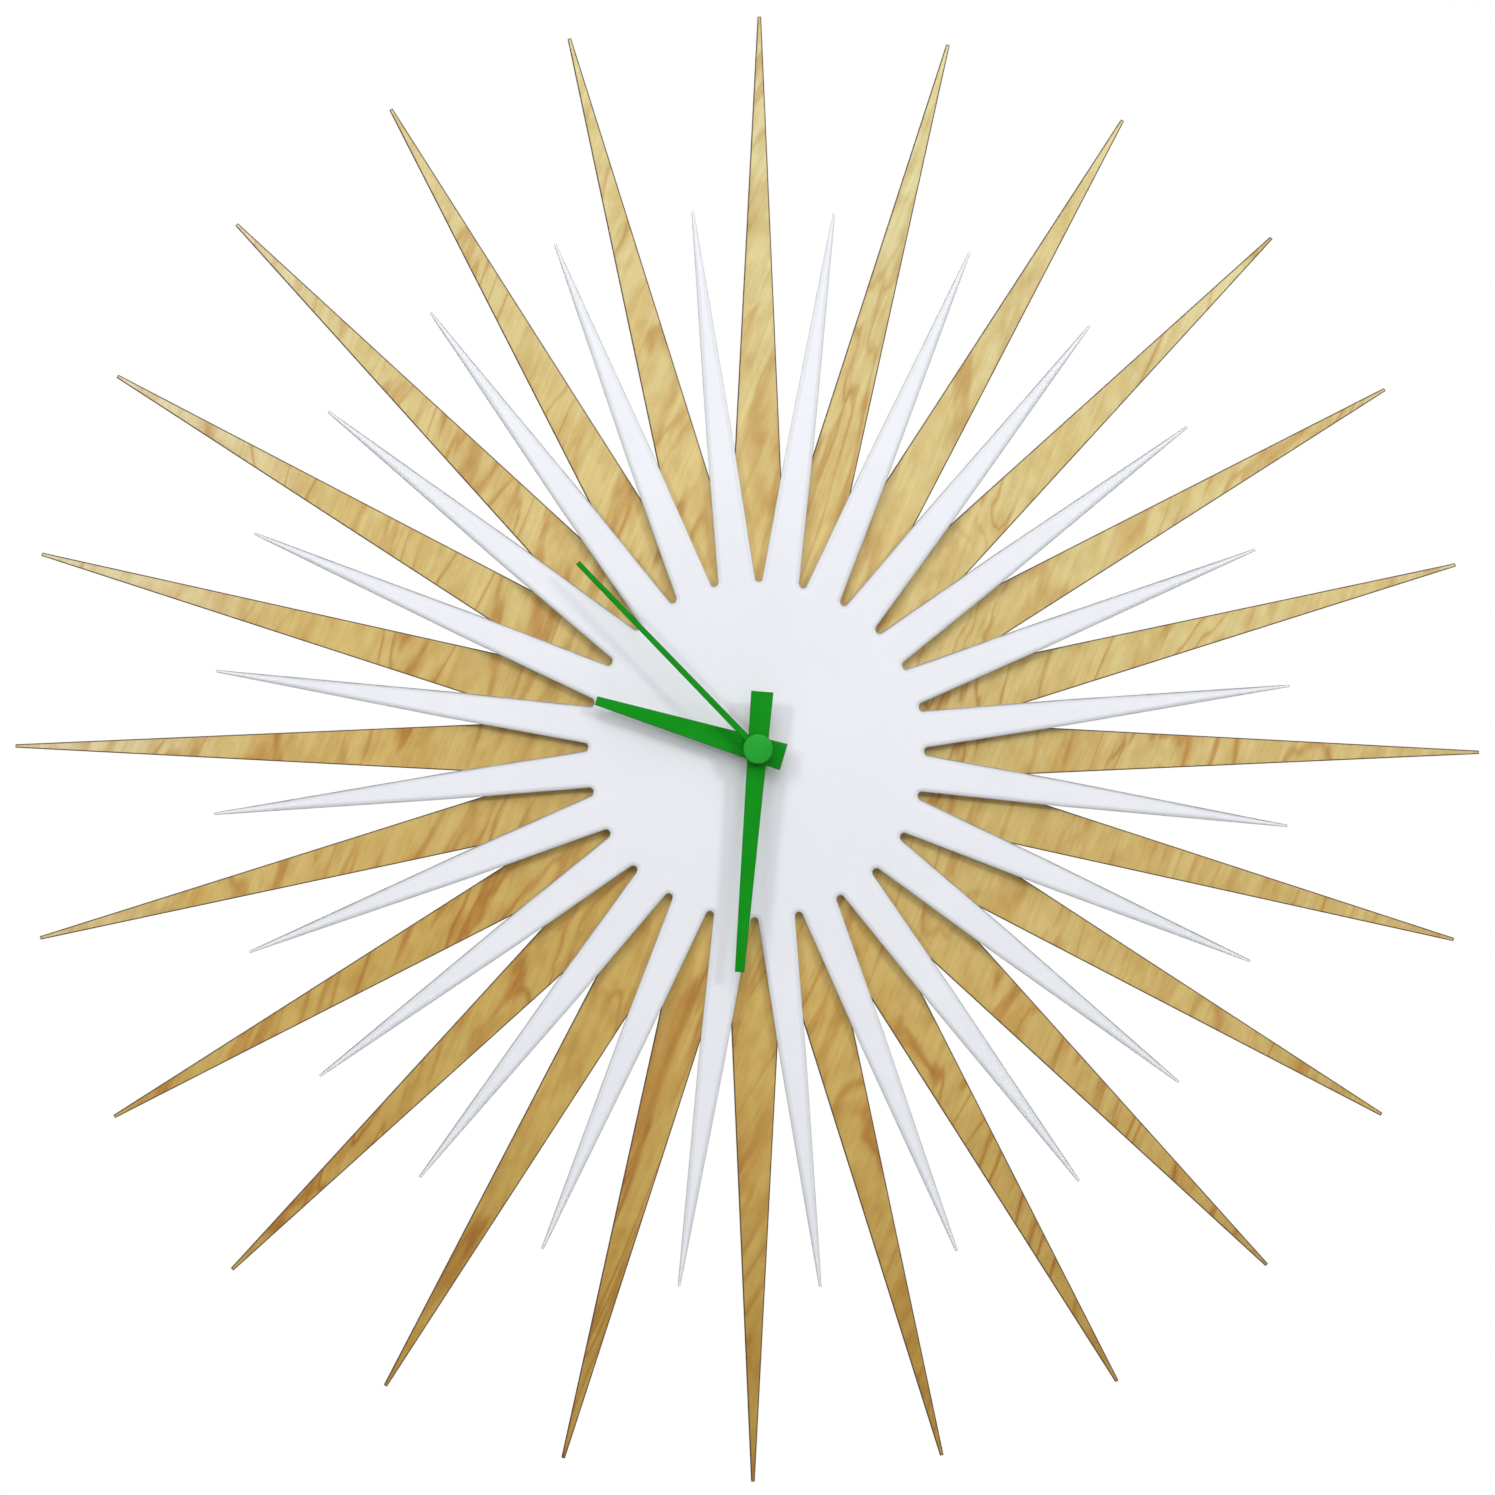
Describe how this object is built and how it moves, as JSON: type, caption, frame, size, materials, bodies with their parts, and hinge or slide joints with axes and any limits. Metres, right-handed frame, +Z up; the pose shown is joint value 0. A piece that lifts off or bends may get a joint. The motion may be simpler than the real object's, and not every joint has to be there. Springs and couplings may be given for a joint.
{
  "type": "wall clock",
  "caption": "Sunburst wall clock: a pointed wooden sunburst under a white one, green tapered hands and a battery quartz movement behind the centre.",
  "frame": {"origin": "on the hands' axis, in the plane of the movement's back cover, which faces the wall", "axes": "+Z up, +X to the right seen from the front, +Y into the wall; the dial faces -Y"},
  "size_m": [0.584, 0.0367, 0.584],
  "materials": {
    "maple": "satin maple veneer, pale with brown figure",
    "white_acrylic": "smooth satin white",
    "green_paint": "satin green paint",
    "cap_green": "satin green paint, slightly lighter",
    "black_plastic": "fine moulded texture",
    "grey_plastic": "moulded",
    "white_plastic": "moulded acetal",
    "rubber": "matte",
    "zinc_steel": "zinc plated",
    "brass": "bright turned",
    "copper": null,
    "dark_magnet": "sintered magnet",
    "board_green": "solder mask",
    "black_epoxy": "glossy epoxy blob",
    "battery_wrap": "plain printed sleeve with no text"
  },
  "bodies": {
    "root": {"wood_sunburst": "maple", "acrylic_sunburst": "white_acrylic", "movement_case": "black_plastic", "back_cover": "black_plastic", "mid_plate": "grey_plastic", "gear_bridge": "grey_plastic", "hanger_plate": "zinc_steel", "rubber_washer": "rubber", "brass_washer": "brass", "hex_nut": "brass", "stator": "zinc_steel", "coil_core": "zinc_steel", "coil_bobbin": "white_plastic", "coil_winding": "copper", "circuit_board": "board_green", "ic_chip": "black_epoxy", "quartz_crystal": "zinc_steel", "contact_positive": "zinc_steel", "contact_negative": "zinc_steel"},
    "hour_set": {"hour_hand": "green_paint", "hour_wheel": "brass"},
    "minute_set": {"minute_hand": "green_paint", "minute_pipe": "brass", "centre_wheel": "white_plastic"},
    "seconds_set": {"second_hand": "green_paint", "second_hand_cap": "cap_green", "seconds_arbor": "zinc_steel", "seconds_wheel": "white_plastic"},
    "third_set": {"third_wheel": "white_plastic", "third_pinion": "white_plastic"},
    "intermediate_set": {"intermediate_wheel": "white_plastic", "intermediate_pinion": "white_plastic"},
    "rotor_set": {"rotor_magnet": "dark_magnet", "rotor_pinion": "white_plastic"},
    "motion_set": {"minute_wheel": "white_plastic", "motion_pinion": "white_plastic", "setting_knob": "grey_plastic"},
    "battery": {"battery_can": "battery_wrap", "battery_terminal": "zinc_steel"}
  },
  "joints": [
    {"name": "minute_turn", "type": "hinge", "parent": "root", "child": "minute_set", "pos_m": [0, 0, 0], "axis": [0, 1, 0], "continuous": true},
    {"name": "hour_turn", "type": "hinge", "parent": "root", "child": "hour_set", "pos_m": [0, 0, 0], "axis": [0, 1, 0], "continuous": true},
    {"name": "seconds_turn", "type": "hinge", "parent": "root", "child": "seconds_set", "pos_m": [0, 0, 0], "axis": [0, 1, 0], "continuous": true},
    {"name": "third_turn", "type": "hinge", "parent": "root", "child": "third_set", "pos_m": [-0.00636, 0, 0.00636], "axis": [0, 1, 0], "continuous": true},
    {"name": "intermediate_turn", "type": "hinge", "parent": "root", "child": "intermediate_set", "pos_m": [0.0046, 0, 0.00386], "axis": [0, 1, 0], "continuous": true},
    {"name": "rotor_turn", "type": "hinge", "parent": "root", "child": "rotor_set", "pos_m": [0.0074, 0, 0.00871], "axis": [0, 1, 0], "continuous": true},
    {"name": "setting_turn", "type": "hinge", "parent": "root", "child": "motion_set", "pos_m": [0.00927, 0, -0.00248], "axis": [0, 1, 0], "continuous": true},
    {"name": "battery_slide", "type": "slide", "parent": "root", "child": "battery", "axis": [0, 1, 0], "range_m": [0, 0.016]}
  ],
  "couplings": [
    {"joint": "hour_turn", "follows": "minute_turn", "ratio": 0.083333},
    {"joint": "seconds_turn", "follows": "minute_turn", "ratio": 60},
    {"joint": "third_turn", "follows": "minute_turn", "ratio": -8},
    {"joint": "intermediate_turn", "follows": "minute_turn", "ratio": -300},
    {"joint": "rotor_turn", "follows": "minute_turn", "ratio": 1800},
    {"joint": "setting_turn", "follows": "minute_turn", "ratio": -0.33333}
  ]
}
